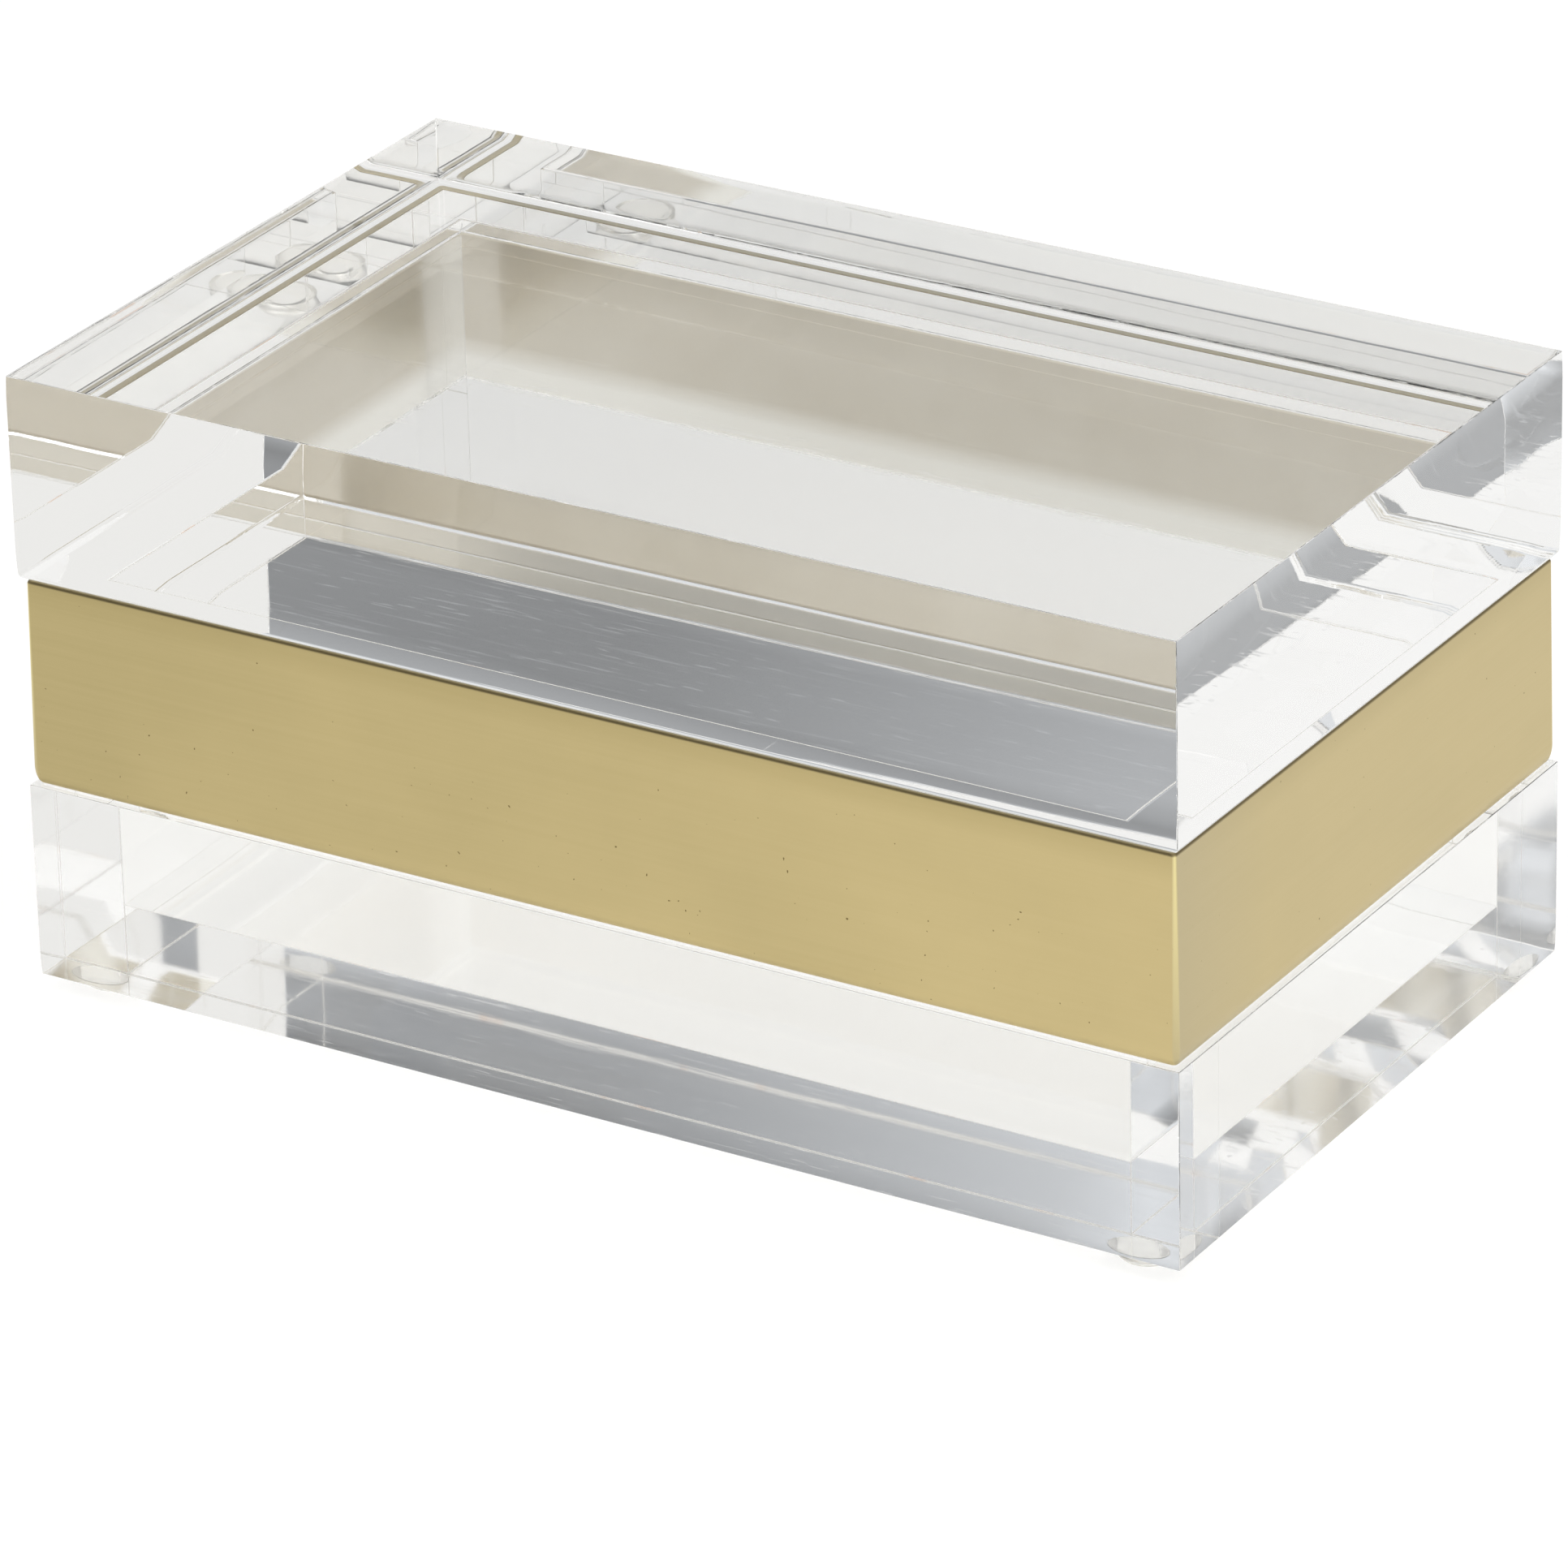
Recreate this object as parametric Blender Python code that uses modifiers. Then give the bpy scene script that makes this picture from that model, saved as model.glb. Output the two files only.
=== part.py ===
"""Clear acrylic keepsake box with a brushed brass band and a lift-off lid.

The box stands on four clear bumpers, with its long front towards -Y and its origin on
the ground below its middle. Four acrylic panels and a floor are bonded into a tray. The
upper part of the panels is rebated outside, which leaves a ledge that carries the brass
band, and a collar behind it. The lid is a thick block with a smaller block bonded
beneath it, which drops into the mouth of the box. Sizes are in metres.
"""

import math

import bmesh
import bpy

# Outline and layers
BOX_WIDTH = 0.254
BOX_DEPTH = 0.150
BASE_HEIGHT = 0.0408
COLLAR_HEIGHT = 0.0435
LID_THICKNESS = 0.0423

# Acrylic sheet
FRONT_THICKNESS = 0.015
END_THICKNESS = 0.015
FLOOR_THICKNESS = 0.015

# Lid
INSERT_THICKNESS = 0.0084
INSERT_CLEARANCE = 0.0004
LID_LOWER_ROUNDING = 0.002
LID_EDGE_POLISH = 0.0004

# Brass band, with insets measured from the outline of the base
BAND_INSET = 0.00115
BAND_THICKNESS = 0.002
BAND_LEAN = 0.0005
BAND_ROLL_HEIGHT = 0.0038
BAND_ROLL_DEPTH = 0.0011
BAND_TOP_ROUNDING = 0.00075
BAND_CORNER_RADIUS = 0.0009

# Bumper feet
FOOT_RADIUS = 0.00635
FOOT_HEIGHT = 0.0038
FOOT_RIM_HEIGHT = 0.0006
FOOT_TIP_RADIUS = 0.0022
FOOT_INSET = 0.0087

# Bonded and resting faces stand this far apart, and cuts run this far past a face
FIT_GAP = 0.0003
CUT_OVERRUN = 0.005

# Counts
ROLL_STEPS = 6
ROUND_STEPS = 3
CORNER_STEPS = 4
FOOT_DOME_STEPS = 7
FOOT_TURN_STEPS = 28

# The bumpers were stuck on by hand. Each is off its nominal place by these shares of
# its radius, counted inwards from the end and from the front or back.
FOOT_OFFSET_SHARES = {
    "foot_front_left": (0.28, 0.13),
    "foot_front_right": (0.41, -0.08),
    "foot_back_left": (0.1, 0.05),
    "foot_back_right": (-0.05, 0.1),
}

# Levels above the ground
BASE_BOTTOM = FOOT_HEIGHT
LEDGE_LEVEL = BASE_BOTTOM + BASE_HEIGHT
LID_BOTTOM = LEDGE_LEVEL + COLLAR_HEIGHT
RIM_LEVEL = LID_BOTTOM - FIT_GAP

# Insets of the band's inner face and of the collar that it goes round
BAND_INNER_INSET = BAND_INSET + BAND_THICKNESS
COLLAR_INSET = BAND_INNER_INSET + FIT_GAP


def clear_scene():
    """Removes whatever the file holds."""
    for old in list(bpy.data.objects):
        bpy.data.objects.remove(old, do_unlink=True)


def new_collection(name):
    """A collection in the scene."""
    group = bpy.data.collections.new(name)
    bpy.context.scene.collection.children.link(group)
    return group


def new_material(name, colour, roughness, metallic, transmission):
    """A Principled material of one colour."""
    material = bpy.data.materials.new(name)
    material.use_nodes = True
    shader = material.node_tree.nodes["Principled BSDF"]
    shader.inputs["Base Color"].default_value = (*colour, 1.0)
    shader.inputs["Roughness"].default_value = roughness
    shader.inputs["Metallic"].default_value = metallic
    shader.inputs["Transmission Weight"].default_value = transmission
    shader.inputs["IOR"].default_value = 1.49
    return material


def clear_acrylic(name):
    """Polished clear acrylic, faintly warm."""
    return new_material(name, (0.93, 0.93, 0.91), 0.03, 0.0, 0.9)


def brushed_brass(name):
    """Pale brass with a brushed finish."""
    return new_material(name, (0.57, 0.47, 0.22), 0.32, 1.0, 0.0)


def soft_bumper(name):
    """Clear soft plastic, a little cloudy."""
    return new_material(name, (0.86, 0.85, 0.80), 0.2, 0.0, 0.7)


def link(name, mesh, group, material=None):
    """An object for a mesh, in a collection."""
    found = bpy.data.objects.new(name, mesh)
    group.objects.link(found)
    if material:
        mesh.materials.append(material)
    return found


def box_mesh(name, size):
    """A box of this size about its own middle."""
    shape = bmesh.new()
    bmesh.ops.create_cube(shape, size=1.0)
    bmesh.ops.scale(shape, vec=size, verts=shape.verts)
    mesh = bpy.data.meshes.new(name)
    shape.to_mesh(mesh)
    shape.free()
    return mesh


def box_between(name, low, high, group, material=None):
    """A box from one corner to the other, with its origin in its middle."""
    size = [top - bottom for bottom, top in zip(low, high)]
    found = link(name, box_mesh(name, size), group, material)
    found.location = [(bottom + top) / 2 for bottom, top in zip(low, high)]
    return found


def outline(inset):
    """Half the width and half the depth of the box's outline, drawn in by an inset."""
    return BOX_WIDTH / 2 - inset, BOX_DEPTH / 2 - inset


def upright_box(name, inset, bottom, top, group, material=None):
    """A box with the drawn-in outline of the base, between two levels."""
    half_x, half_y = outline(inset)
    low = (-half_x, -half_y, bottom)
    high = (half_x, half_y, top)
    return box_between(name, low, high, group, material)


def cut(target, cutter):
    """Takes the cutter's shape out of the target."""
    step = target.modifiers.new(f"cut {cutter.name}", "BOOLEAN")
    step.operation = "DIFFERENCE"
    step.solver = "EXACT"
    step.object = cutter


def hide_cutter(cutter):
    """Shows a cutter as a wire only."""
    cutter.hide_render = True
    cutter.display_type = "WIRE"


def rebate_cutter(cutters):
    """A frame round the collar, which leaves the ledge that carries the band."""
    above = RIM_LEVEL + CUT_OVERRUN
    frame = upright_box("rebate_cutter", -CUT_OVERRUN, LEDGE_LEVEL, above, cutters)
    core_bottom = LEDGE_LEVEL - CUT_OVERRUN
    core_top = above + CUT_OVERRUN
    core = upright_box("collar_core", COLLAR_INSET, core_bottom, core_top, cutters)
    cut(frame, core)
    hide_cutter(frame)
    hide_cutter(core)
    return frame


def build_panels(parts, cutters):
    """The four walls. Front and back run full width, and the ends fit between them."""
    half_x, half_y = outline(0)
    front_inner = half_y - FRONT_THICKNESS
    end_inner = half_x - END_THICKNESS
    end_reach = front_inner - FIT_GAP
    spans = {
        "front_panel": ((-half_x, -half_y), (half_x, -front_inner)),
        "back_panel": ((-half_x, front_inner), (half_x, half_y)),
        "left_panel": ((-half_x, -end_reach), (-end_inner, end_reach)),
        "right_panel": ((end_inner, -end_reach), (half_x, end_reach)),
    }
    rebate = rebate_cutter(cutters)
    for name, (low, high) in spans.items():
        material = clear_acrylic(f"{name}_acrylic")
        bottom, top = (*low, BASE_BOTTOM), (*high, RIM_LEVEL)
        panel = box_between(name, bottom, top, parts, material)
        cut(panel, rebate)


def build_floor(parts):
    """The floor, bonded between the four walls."""
    half_x, half_y = outline(0)
    reach_x = half_x - END_THICKNESS - FIT_GAP
    reach_y = half_y - FRONT_THICKNESS - FIT_GAP
    low = (-reach_x, -reach_y, BASE_BOTTOM)
    high = (reach_x, reach_y, BASE_BOTTOM + FLOOR_THICKNESS)
    box_between("floor_panel", low, high, parts, clear_acrylic("floor_panel_acrylic"))


def rounded_outline(inset, radius):
    """Points round the drawn-in outline of the base, with its corners rounded."""
    half_x, half_y = outline(inset)
    points = []
    for corner, (side_x, side_y) in enumerate(((1, 1), (-1, 1), (-1, -1), (1, -1))):
        for step in range(CORNER_STEPS + 1):
            turn = (corner + step / CORNER_STEPS) * math.pi / 2
            x = side_x * (half_x - radius) + radius * math.cos(turn)
            y = side_y * (half_y - radius) + radius * math.sin(turn)
            points.append((x, y))
    return points


def band_section():
    """Inset and level of each step up the band's outer side.

    The lower edge rolls in on a quarter ellipse, the face leans in a little towards the
    top, and the upper edge is rounded.
    """
    bottom = LEDGE_LEVEL + FIT_GAP
    knee_inset = BAND_INSET - BAND_LEAN
    steps = []
    for step in range(ROLL_STEPS + 1):
        turn = (1 - step / ROLL_STEPS) * math.pi / 2
        inset = knee_inset + BAND_ROLL_DEPTH * (1 - math.cos(turn))
        steps.append((inset, bottom + BAND_ROLL_HEIGHT * (1 - math.sin(turn))))
    for step in range(ROUND_STEPS + 1):
        turn = step / ROUND_STEPS * math.pi / 2
        inset = BAND_INSET + BAND_TOP_ROUNDING * (1 - math.cos(turn))
        steps.append((inset, RIM_LEVEL - BAND_TOP_ROUNDING * (1 - math.sin(turn))))
    return steps


def lofted_mesh(name, rings):
    """A closed mesh through rings of points, the lowest first."""
    shape = bmesh.new()
    loops = [[shape.verts.new(point) for point in ring] for ring in rings]
    for lower, upper in zip(loops, loops[1:]):
        for index in range(len(lower)):
            after = (index + 1) % len(lower)
            shape.faces.new((lower[index], lower[after], upper[after], upper[index]))
    shape.faces.new(reversed(loops[0]))
    shape.faces.new(loops[-1])
    mesh = bpy.data.meshes.new(name)
    shape.to_mesh(mesh)
    shape.free()
    return mesh


def build_band(parts, cutters):
    """The brass sleeve: its rolled outer form, with the collar's way cut through it."""
    origin_level = LEDGE_LEVEL + FIT_GAP
    rings = []
    for inset, level in band_section():
        outer = rounded_outline(inset, BAND_CORNER_RADIUS)
        rings.append([(x, y, level - origin_level) for x, y in outer])
    mesh = lofted_mesh("brass_band", rings)
    band = link("brass_band", mesh, parts, brushed_brass("brass_band_brass"))
    band.location.z = origin_level
    bottom, top = LEDGE_LEVEL - CUT_OVERRUN, RIM_LEVEL + CUT_OVERRUN
    bore = upright_box("band_bore", BAND_INNER_INSET, bottom, top, cutters)
    hide_cutter(bore)
    cut(band, bore)
    mesh.shade_smooth()
    mesh.set_sharp_from_angle(angle=math.radians(35))


def round_edges(target, lower_width, other_width):
    """Rounds a box's lower edges by one width and its other edges by a smaller one."""
    mesh = target.data
    lowest = min(vertex.co.z for vertex in mesh.vertices)
    weights = mesh.attributes.new("bevel_weight_edge", "FLOAT", "EDGE")
    for edge in mesh.edges:
        low = all(mesh.vertices[end].co.z == lowest for end in edge.vertices)
        weights.data[edge.index].value = 1.0 if low else other_width / lower_width
    step = target.modifiers.new("rounded edges", "BEVEL")
    step.limit_method = "WEIGHT"
    step.width = lower_width
    step.segments = 3


def build_lid(parts):
    """The lid block and the block under it, on an empty that lifts straight up."""
    lift = bpy.data.objects.new("lid_lift", None)
    lift.location.z = LID_BOTTOM
    lift.empty_display_size = INSERT_THICKNESS
    parts.objects.link(lift)

    half_x, half_y = outline(0)
    low, high = (-half_x, -half_y, 0), (half_x, half_y, LID_THICKNESS)
    slab = box_between("lid_slab", low, high, parts, clear_acrylic("lid_slab_acrylic"))
    slab.parent = lift
    round_edges(slab, LID_LOWER_ROUNDING, LID_EDGE_POLISH)

    reach_x = half_x - END_THICKNESS - INSERT_CLEARANCE
    reach_y = half_y - FRONT_THICKNESS - INSERT_CLEARANCE
    low = (-reach_x, -reach_y, -FIT_GAP - INSERT_THICKNESS)
    high = (reach_x, reach_y, -FIT_GAP)
    material = clear_acrylic("lid_insert_acrylic")
    insert = box_between("lid_insert", low, high, parts, material)
    insert.parent = lift
    round_edges(insert, LID_EDGE_POLISH, LID_EDGE_POLISH)


def foot_profile():
    """Radius and height down a bumper's outer side, from its top centre to its tip."""
    top = FOOT_HEIGHT - FIT_GAP
    rim = top - FOOT_RIM_HEIGHT
    points = [(0, top), (FOOT_RADIUS, top)]
    for step in range(FOOT_DOME_STEPS + 1):
        turn = step / FOOT_DOME_STEPS * math.pi / 2
        reach = FOOT_RADIUS - FOOT_TIP_RADIUS
        points.append((FOOT_TIP_RADIUS + reach * math.cos(turn), rim * (1 - math.sin(turn))))
    points.append((0, 0))
    return points


def foot_mesh():
    """The profile of a bumper, ready to be turned about Z."""
    points = [(radius, 0, height) for radius, height in foot_profile()]
    edges = [(index, index + 1) for index in range(len(points) - 1)]
    mesh = bpy.data.meshes.new("foot_profile")
    mesh.from_pydata(points, edges, [])
    return mesh


def build_feet(parts):
    """The four bumpers under the corners."""
    half_x, half_y = outline(FOOT_INSET)
    for name, (share_x, share_y) in FOOT_OFFSET_SHARES.items():
        foot = link(name, foot_mesh(), parts, soft_bumper(f"{name}_plastic"))
        side_x = -1 if "left" in name else 1
        side_y = -1 if "front" in name else 1
        foot.location.x = side_x * (half_x - share_x * FOOT_RADIUS)
        foot.location.y = side_y * (half_y - share_y * FOOT_RADIUS)
        turn = foot.modifiers.new("turned", "SCREW")
        turn.steps = FOOT_TURN_STEPS
        turn.render_steps = FOOT_TURN_STEPS
        turn.use_merge_vertices = True
        turn.merge_threshold = 0.00001
        turn.use_smooth_shade = True


def main():
    clear_scene()
    parts = new_collection("acrylic_box")
    cutters = new_collection("cutters")
    build_floor(parts)
    build_panels(parts, cutters)
    build_band(parts, cutters)
    build_lid(parts)
    build_feet(parts)


main()
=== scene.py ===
"""Clear acrylic keepsake box with a brushed brass band and a lift-off lid.

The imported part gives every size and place. The bonded acrylic of the case is one clear
body, because light passes a good bond as if it weren't there, and so is the acrylic of
the lid. The cement's edges are fine lines of their own. Sizes are in metres.
"""

import math

import bpy
import numpy as np
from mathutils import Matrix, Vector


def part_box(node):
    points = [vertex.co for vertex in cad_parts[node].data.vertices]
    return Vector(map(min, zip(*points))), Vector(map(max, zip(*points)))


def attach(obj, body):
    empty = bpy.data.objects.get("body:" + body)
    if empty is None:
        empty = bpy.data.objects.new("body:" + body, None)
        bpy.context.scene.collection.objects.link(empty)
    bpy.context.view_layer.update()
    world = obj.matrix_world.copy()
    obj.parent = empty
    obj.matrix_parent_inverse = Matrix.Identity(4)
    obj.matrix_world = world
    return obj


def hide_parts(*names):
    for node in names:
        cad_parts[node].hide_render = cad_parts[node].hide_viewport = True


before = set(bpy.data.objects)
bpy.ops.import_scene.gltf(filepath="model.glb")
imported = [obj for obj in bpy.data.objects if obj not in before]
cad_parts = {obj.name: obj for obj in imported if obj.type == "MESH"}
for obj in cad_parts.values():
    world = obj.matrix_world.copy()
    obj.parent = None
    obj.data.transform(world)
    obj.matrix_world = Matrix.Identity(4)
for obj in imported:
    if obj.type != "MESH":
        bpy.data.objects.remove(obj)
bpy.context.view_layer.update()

# Edges of the clear acrylic
POLISHED_EDGE = 0.00015
CAVITY_EDGE = 0.00015
GLUE_FILLET = 0.0003
LID_LOWER_ROUNDING = 0.0014
INSERT_LOWER_ROUNDING = 0.0009
CORNER_RADIUS = 0.0002
CORNER_STEPS = 4
EDGE_STEPS = 3
FILLET_STEPS = 4
LID_ROUNDING_STEPS = 18
INSERT_ROUNDING_STEPS = 8

# The buffing wheel rolls the outer faces off towards their edges, the upright edges
# least, and the edge at the ledge by a share of the others
ROLL_OFF = 0.00015
UPRIGHT_ROLL_OFF = 0.00002
LEDGE_ROLL_SHARE = 0.2
ROLL_WIDTH = 0.006
ROLL_STEPS = 20

# Section of the band, as in its solid
BAND_THICKNESS = 0.002
BAND_LEAN = 0.0005
BAND_ROLL_HEIGHT = 0.0038
BAND_ROLL_DEPTH = 0.0011
BAND_TOP_ROUNDING = 0.00075
BAND_CORNER_RADIUS = 0.0009
BAND_GAP = 0.0003
BAND_INNER_EDGE = 0.0002
BAND_ROLL_STEPS = 12
BAND_TOP_STEPS = 10
BAND_CORNER_STEPS = 8

# Bumpers
FOOT_RIM_HEIGHT = 0.0006
FOOT_TIP_RADIUS = 0.0022
FOOT_BOND = 0.00005
FOOT_EDGE = 0.00012
FOOT_DOME_STEPS = 24
FOOT_EDGE_STEPS = 4
FOOT_COLUMNS = 96

# Cement: the lines that the bonds' edges show, wider where it ran out underneath
CEMENT_WIDTH = 0.00009
CEMENT_UNDER_WIDTH = 0.0002
CEMENT_BACK_WIDTH = 0.0005
CEMENT_BLOCK_WIDTH = 0.00035
CEMENT_THICKNESS = 0.00003
CEMENT_MARGIN = 0.00003

# Camera, from the box's corners in the photograph
CAMERA_AZIMUTH = math.radians(31.822)
CAMERA_ELEVATION = math.radians(25.473)
CAMERA_ROLL = math.radians(-1.438)
CAMERA_DISTANCE = 1.8992
CAMERA_TARGET = (-0.00203, 0.0, 0.04175)
CAMERA_LENS_MM = 225.82
CAMERA_CLIP_END = 100

# How often light may bounce
MOST_BOUNCES = 40
GLOSSY_BOUNCES = 24
TRANSPARENT_BOUNCES = 32

# Indexes of refraction
ACRYLIC_INDEX = 1.498
BUMPER_INDEX = 1.46

# Colours, linear, with an alpha of 1
CLEAR = (0.99, 0.989, 0.981, 1)
BRASS_LEFT_SHADED = (0.475, 0.387, 0.186, 1)
BRASS_RIGHT_LIT = (0.595, 0.482, 0.24, 1)
BRASS_STREAK = (0.66, 0.55, 0.30, 1)
BRASS_SHADE = (0.36, 0.285, 0.12, 1)
BRASS_END_PAINTED_LIGHT = (0.512, 0.432, 0.252, 1)
BRASS_CORNER_HIGHLIGHT = (0.84, 0.73, 0.36, 1)
BRASS_TOP_EDGE_SHADE = (0.13, 0.10, 0.05, 1)
BRASS_TOP = (0.42, 0.36, 0.22, 1)
BRASS_PIT = (0.2, 0.15, 0.06, 1)
BACK_DULL = (0.69, 0.64, 0.545, 1)
BACK_LIGHT = (0.73, 0.685, 0.595, 1)
BACK_SHADE = (0.5, 0.46, 0.37, 1)
BACK_LEFT = (0.5, 0.45, 0.35, 1)
BACK_CORNER = (0.9, 0.88, 0.82, 1)
BACK_CEMENT = (0.99, 0.98, 0.94, 1)
BUMPER_WARM = (1.0, 0.985, 0.955, 1)
BUMPER_CLEAR = (1.0, 0.995, 0.975, 1)
CEMENT_PALE = (0.97, 0.96, 0.93, 1)
CEMENT_PINK = (0.95, 0.78, 0.68, 1)
PAPER_GLOW = (1.0, 0.998, 0.992, 1)
PAPER_SEEN = (0.405, 0.405, 0.405, 1)
PAPER_DARK = (0.5, 0.5, 0.5, 1)
PAPER_LIGHT = (0.52, 0.52, 0.52, 1)
ROOM_WHITE = (0.83, 0.827, 0.812, 1)
PURE_WHITE = (1, 1, 1, 1)

# How far short of the band's outline a finish or painted light starts, and where it is full: the
# painted shade below the top, the painted light on the ends, the painted shade on the rounded top
# edge, the flat top, the inner side of the ends and the milky cement below the inner side's upper
# edge
BRASS_SHADE_REACH = (0.006, 0.0)
BRASS_END_REACH = (0.0012, 0.0008)
BRASS_TOP_EDGE_REACH = (0.0008, 0.0004)
BRASS_TOP_REACH = (0.0002, 0.00005)
BACK_END_REACH = (0.0045, 0.004)
BACK_UPPER_CEMENT = (0.0048, 0.003)

# The milky cement above the lower edge is full up to one height and gone at the next
BACK_LOWER_CEMENT = (0.004, 0.009)

# Painted light: the brass is lighter on the right, from end to end, and the painted light on its
# ends, a dull tone, is strongest at the front
BRASS_TONE_REACH = 0.13
BRASS_END_LIGHT_LENGTH = 0.035

# Places on the band's inner side: a shaded patch and a pale corner inside its ends, along
# the depth and up the height, and the darker left, along the width and up the height
BACK_SHADE_DEPTH = (0.028, 0.044)
BACK_SHADE_HEIGHT = (0.056, 0.065)
BACK_CORNER_DEPTH = (0.05, 0.064)
BACK_LEFT_WIDTH = (-0.025, 0.03)
BACK_LEFT_HEIGHT = (0.066, 0.076)

# The paper's own white, and what it loses seen through acrylic: from one distance from
# the middle to another, the first loss and the last
PAPER_GLOW_LEVEL = 0.66
PAPER_FALL_OFF = (0.14, 0.26, 0.06, 0.15)
PAPER_SIZE = 60

# Studio: a white room with a gray card behind the left end and another before it.
# Each card: turn of its middle from +Y towards +X, half its width, its lowest and
# highest elevation and the softness of its edges, all in degrees
BACK_CARD = (-38.0, 24.0, 6.0, 56.0, 10.0)
FRONT_CARD = (-146.0, 30.0, 6.0, 56.0, 10.0)
CARD_TINT = (0.965, 1.0, 1.045)

# The back card's gray at its darkest elevation, its gain per degree away from that, and
# its lightest gray
BACK_CARD_GRAY = 0.19
BACK_CARD_LEVEL = 24.6
BACK_CARD_GAIN = 0.046
BACK_CARD_LIGHTEST = 0.8

# Where the back card grows lighter sideways: the turn and the elevation it starts from,
# the degrees of elevation over which that comes in, and the share gained per degree
BACK_CARD_RIGHT = (-32.8, 23.4, 1.2, 0.22)
BACK_CARD_LEFT = (-34.3, 24.6, 1.5, -0.3)
BACK_CARD_END = (-29.8, 26.0, 1.0, 1.6)

# The front card's gray, its gain per degree above an elevation, and its lightest gray
FRONT_CARD_GRAY = 0.31
FRONT_CARD_LEVEL = 24.8
FRONT_CARD_GAIN = 0.1
FRONT_CARD_LIGHTEST = 0.7

# Lamps, aimed at LAMP_TARGET: size, power, turn from the front towards +X and rise, in
# degrees, and distance
LAMP_TARGET = (0, 0, 0.06)
OVERHEAD_LAMP = (1.4, 7.0, 20, 72, 1.7)
SIDE_LAMP = (1.0, 3.0, 66, 17, 1.8)

# Where a quarter round starts its turn: an outer lower edge, an outer upper edge, and an
# upper edge that turns down into the cavity
LOWER, UPPER, INWARD = -math.pi / 2, 0.0, math.pi / 2


def quarter_round(inset, level, radius_in, radius_up, start, steps):
    """Insets and levels along a quarter ellipse.

    The point is inset - radius_in * cos(turn), level + radius_up * sin(turn), with the
    turn going from start to start + 90 degrees.
    """
    turn = start + np.linspace(0, math.pi / 2, steps + 1)
    return np.column_stack((inset - radius_in * np.cos(turn), level + radius_up * np.sin(turn)))


def rolled_off(distance):
    """How far a face drops at a distance from its edge: ROLL_OFF * (1 - distance / width)^2."""
    return ROLL_OFF * np.clip(1 - distance / ROLL_WIDTH, 0, 1) ** 2


def rolled_face(low, high, upper=1.0):
    """Insets and levels up an outer face that rolls off towards both of its edges.

    The upper edge rolls off by upper times what the lower one does.
    """
    share = np.linspace(0, 1, ROLL_STEPS + 1)
    level = np.concatenate((low + ROLL_WIDTH * share, high - ROLL_WIDTH * share[::-1]))
    return np.column_stack((rolled_off(level - low) + upper * rolled_off(high - level), level))


def ring(half_x, half_y, radius, steps, crown=0.0):
    """Points round a rectangle with rounded corners, anticlockwise from the right side.

    Each corner is its centre plus radius * (cos(turn), sin(turn)) over 90 degrees. Along
    a side, near its ends, the point stands out by crown - crown * (1 - way / width)^2.
    """
    turn = np.linspace(0, math.pi / 2, steps + 1)
    way = ROLL_WIDTH * np.linspace(0, 1, ROLL_STEPS + 1)[1:]
    out = crown * (1 - np.clip(1 - way / ROLL_WIDTH, 0, 1) ** 2)
    parts = []
    for corner, (side_x, side_y) in enumerate(((1, 1), (-1, 1), (-1, -1), (1, -1))):
        start = corner * math.pi / 2
        centre = np.array((side_x * (half_x - radius), side_y * (half_y - radius)))
        before = np.array((math.cos(start), math.sin(start)))
        after = np.array((-before[1], before[0]))
        first, last = centre + radius * before, centre + radius * after
        parts.append(first - way[::-1, None] * after + out[::-1, None] * before)
        spread = np.cos(turn)[:, None] * before + np.sin(turn)[:, None] * after
        parts.append(centre + radius * spread)
        parts.append(last - way[:, None] * before + out[:, None] * after)
    return np.concatenate(parts)


def carried_round(section, half_x, half_y, radius, steps, crowned=None):
    """A section carried round a rectangle: row i is the ring at inset i and level i."""
    radii = np.broadcast_to(radius, len(section))
    crowns = np.zeros(len(section))
    if crowned is not None:
        crowns = np.where(crowned, UPRIGHT_ROLL_OFF, 0.0)
    rows = []
    for (inset, level), corner, crown in zip(section, radii, crowns):
        flat = ring(half_x - inset - crown, half_y - inset - crown, corner, steps, crown)
        rows.append(np.column_stack((flat, np.full(len(flat), level))))
    return np.stack(rows)


def wall_faces(rows, columns, closed=False):
    """Quads between the rows of a grid whose columns close on themselves."""
    i = np.arange(rows if closed else rows - 1)[:, None]
    j = np.arange(columns)[None, :]
    above = (i + 1) % rows * columns
    here = i * columns
    after = (j + 1) % columns
    quads = np.stack((here + j, here + after, above + after, above + j), axis=-1)
    return quads.reshape(-1, 4)


def new_piece(name, points, faces, slots, slot_of_face=None):
    """A flat-shaded object at the origin from points and faces, with its material slots."""
    mesh = bpy.data.meshes.new(name)
    mesh.from_pydata(points.tolist(), [], faces)
    for slot in slots:
        mesh.materials.append(slot)
    if slot_of_face is not None:
        mesh.polygons.foreach_set("material_index", slot_of_face)
    mesh.validate()
    mesh.update()
    found = bpy.data.objects.new(name, mesh)
    bpy.context.scene.collection.objects.link(found)
    return found


def closed_sleeve(name, grid, slots, slot_of_row, slot_of_caps):
    """A closed body: a grid's walls, a cap on its first row and a cap on its last."""
    rows, columns, _ = grid.shape
    faces = wall_faces(rows, columns).tolist()
    faces.append(list(range(columns - 1, -1, -1)))
    faces.append(list(range((rows - 1) * columns, rows * columns)))
    slot_of_face = np.repeat(slot_of_row, columns).tolist() + list(slot_of_caps)
    return new_piece(name, grid.reshape(-1, 3), faces, slots, slot_of_face)


# Finishes


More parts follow.
